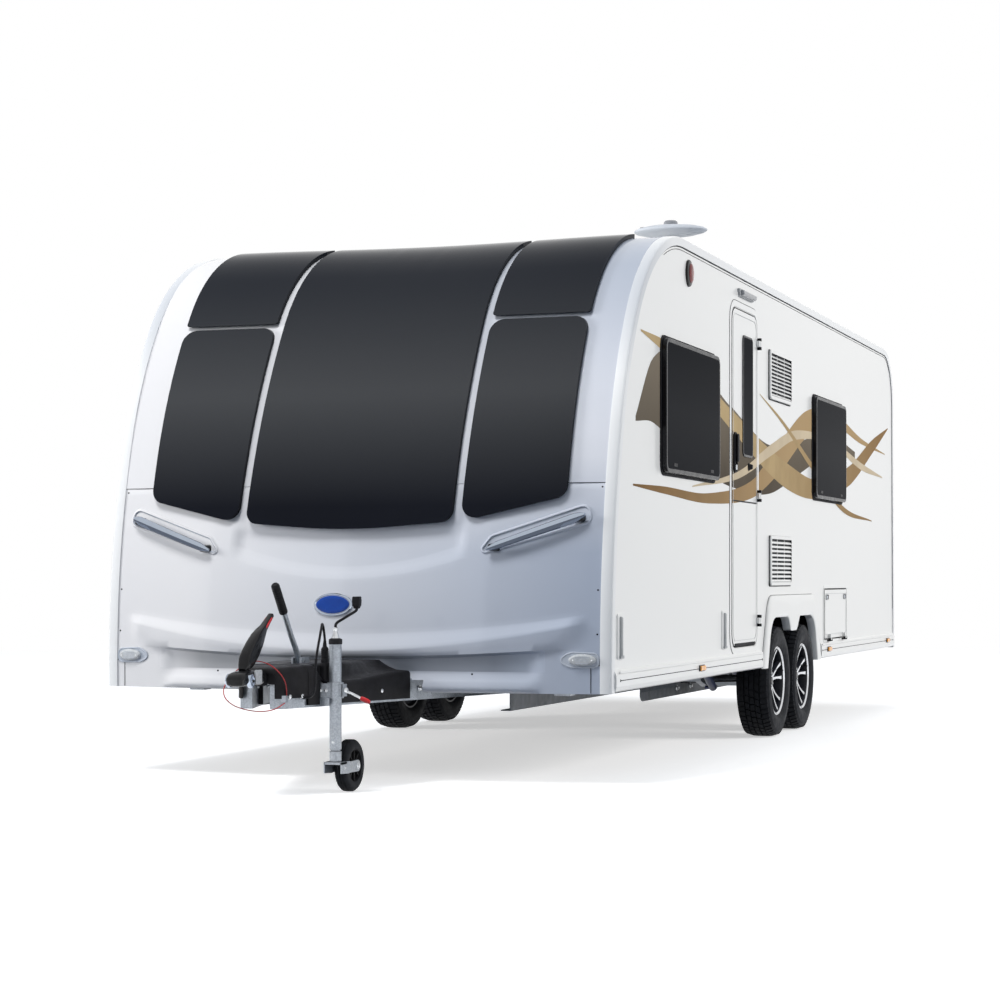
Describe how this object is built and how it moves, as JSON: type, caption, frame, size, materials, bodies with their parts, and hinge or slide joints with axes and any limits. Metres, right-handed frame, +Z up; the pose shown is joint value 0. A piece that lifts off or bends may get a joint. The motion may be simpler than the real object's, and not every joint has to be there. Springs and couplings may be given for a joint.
{
  "type": "twin-axle travel caravan",
  "caption": "Long touring caravan with a raked, glazed nose, tandem wheels under one arch moulding, a side door, and a drawbar with coupling and jockey wheel.",
  "frame": {"origin": "on the ground, under the middle of the overall box", "axes": "+Z up, the drawbar points to -Y, +X is the nearside, where the entrance door is"},
  "size_m": [2.338, 8.072, 2.55],
  "materials": {
    "black_plastic": "grained",
    "black_steel": "satin",
    "cable": "matt",
    "cable_red": "matt",
    "chrome": "polished",
    "damper_blue": "gloss",
    "floor_board": "sealed",
    "front_pearl": "gloss with a pearl sheen",
    "galvanised": "zinc coated",
    "glazing": "gloss tinted acrylic",
    "lens": "clear",
    "rail_alloy": "white powder coat",
    "rim_alloy": "machined and lacquered",
    "rubber": "matt",
    "shell_white": "gloss, slightly dusty",
    "trim_grey": "satin",
    "tyre": "worn"
  },
  "bodies": {
    "caravan": {"axle_front": "galvanised", "axle_rear": "galvanised", "breakaway_cable": "cable_red", "chassis_rails": "galvanised", "corner_rails": "rail_alloy", "coupling_head": "black_steel", "dampers": "damper_blue", "drawbar_fairing": "black_plastic", "drawbar_nearside": "galvanised", "drawbar_offside": "galvanised", "floor_panel": "floor_board", "front_glazing": "glazing", "front_panel_lower": "front_pearl", "front_panel_upper": "front_pearl", "grab_handles": "chrome", "handbrake_lever": "galvanised", "jockey_clamp": "galvanised", "lamps": "lens", "lead_cable": "cable", "lead_plug": "cable", "leaf_hinges": "black_steel", "mudflaps": "rubber", "rear_bumper": "shell_white", "rear_panel": "shell_white", "rear_window": "glazing", "roof_panel": "shell_white", "rooflight_frames": "shell_white", "side_wall_nearside": "shell_white", "side_wall_offside": "shell_white", "side_windows": "glazing", "skirts": "trim_grey", "stabiliser_handle": "black_plastic", "steady_brackets": "galvanised", "tv_aerial": "shell_white", "vent_grilles": "trim_grey", "wheel_arches": "trim_grey", "wheel_boxes": "black_plastic"},
    "door": {"door": "shell_white", "door_window": "glazing", "door_handle": "black_plastic"},
    "service_hatch": {"service_hatch": "shell_white"},
    "rooflight_front": {"rooflight_lid_front": "glazing"},
    "rooflight_rear": {"rooflight_lid_rear": "glazing"},
    "jockey_stem": {"jockey_stem": "galvanised"},
    "jockey_leg": {"jockey_leg": "galvanised"},
    "jockey_fork": {"jockey_fork": "galvanised"},
    "jockey_wheel": {"jockey_wheel": "rubber"},
    "wheel_nearside_front": {"tyre_nearside_front": "tyre", "rim_nearside_front": "rim_alloy"},
    "steady_nearside_front": {"steady_nearside_front": "galvanised"},
    "wheel_offside_front": {"tyre_offside_front": "tyre", "rim_offside_front": "rim_alloy"},
    "steady_offside_front": {"steady_offside_front": "galvanised"},
    "wheel_nearside_rear": {"tyre_nearside_rear": "tyre", "rim_nearside_rear": "rim_alloy"},
    "steady_nearside_rear": {"steady_nearside_rear": "galvanised"},
    "wheel_offside_rear": {"tyre_offside_rear": "tyre", "rim_offside_rear": "rim_alloy"},
    "steady_offside_rear": {"steady_offside_rear": "galvanised"}
  },
  "joints": [
    {"name": "door_hinge", "type": "hinge", "parent": "caravan", "child": "door", "pos_m": [1.158, -0.237, 0.511], "axis": [0, 0, 1], "range_deg": [0, 160]},
    {"name": "hatch_hinge", "type": "hinge", "parent": "caravan", "child": "service_hatch", "pos_m": [1.158, 1.534, 0.488], "axis": [0, 1, 0], "range_deg": [0, 100]},
    {"name": "rooflight_front_hinge", "type": "hinge", "parent": "caravan", "child": "rooflight_front", "pos_m": [0, -1, 2.422], "axis": [1, 0, 0], "range_deg": [0, 50]},
    {"name": "rooflight_rear_hinge", "type": "hinge", "parent": "caravan", "child": "rooflight_rear", "pos_m": [0, 1.955, 2.422], "axis": [1, 0, 0], "range_deg": [0, 50]},
    {"name": "wheel_nearside_front_spin", "type": "hinge", "parent": "caravan", "child": "wheel_nearside_front", "pos_m": [1.0545, 0.309, 0.298], "axis": [1, 0, 0], "continuous": true},
    {"name": "wheel_offside_front_spin", "type": "hinge", "parent": "caravan", "child": "wheel_offside_front", "pos_m": [-1.0545, 0.309, 0.298], "axis": [1, 0, 0], "continuous": true},
    {"name": "wheel_nearside_rear_spin", "type": "hinge", "parent": "caravan", "child": "wheel_nearside_rear", "pos_m": [1.0545, 0.959, 0.298], "axis": [1, 0, 0], "continuous": true},
    {"name": "wheel_offside_rear_spin", "type": "hinge", "parent": "caravan", "child": "wheel_offside_rear", "pos_m": [-1.0545, 0.959, 0.298], "axis": [1, 0, 0], "continuous": true},
    {"name": "steady_nearside_front_hinge", "type": "hinge", "parent": "caravan", "child": "steady_nearside_front", "pos_m": [0.85, -2.166, 0.383], "axis": [1, 0, 0], "range_deg": [0, 50]},
    {"name": "steady_offside_front_hinge", "type": "hinge", "parent": "caravan", "child": "steady_offside_front", "pos_m": [-0.85, -2.166, 0.383], "axis": [1, 0, 0], "range_deg": [0, 50]},
    {"name": "steady_nearside_rear_hinge", "type": "hinge", "parent": "caravan", "child": "steady_nearside_rear", "pos_m": [0.85, 3.214, 0.383], "axis": [-1, 0, 0], "range_deg": [0, 50]},
    {"name": "steady_offside_rear_hinge", "type": "hinge", "parent": "caravan", "child": "steady_offside_rear", "pos_m": [-0.85, 3.214, 0.383], "axis": [-1, 0, 0], "range_deg": [0, 50]},
    {"name": "jockey_clamp_slide", "type": "slide", "parent": "caravan", "child": "jockey_stem", "axis": [0, 0, 1], "range_m": [0, 0.12]},
    {"name": "jockey_screw", "type": "slide", "parent": "jockey_stem", "child": "jockey_leg", "axis": [0, 0, -1], "range_m": [0, 0.18]},
    {"name": "jockey_swivel", "type": "hinge", "parent": "jockey_leg", "child": "jockey_fork", "pos_m": [0.205, -3.538, 0.104], "axis": [0, 0, 1], "continuous": true},
    {"name": "jockey_wheel_spin", "type": "hinge", "parent": "jockey_fork", "child": "jockey_wheel", "pos_m": [0.205, -3.398, 0.104], "axis": [1, 0, 0], "continuous": true}
  ]
}
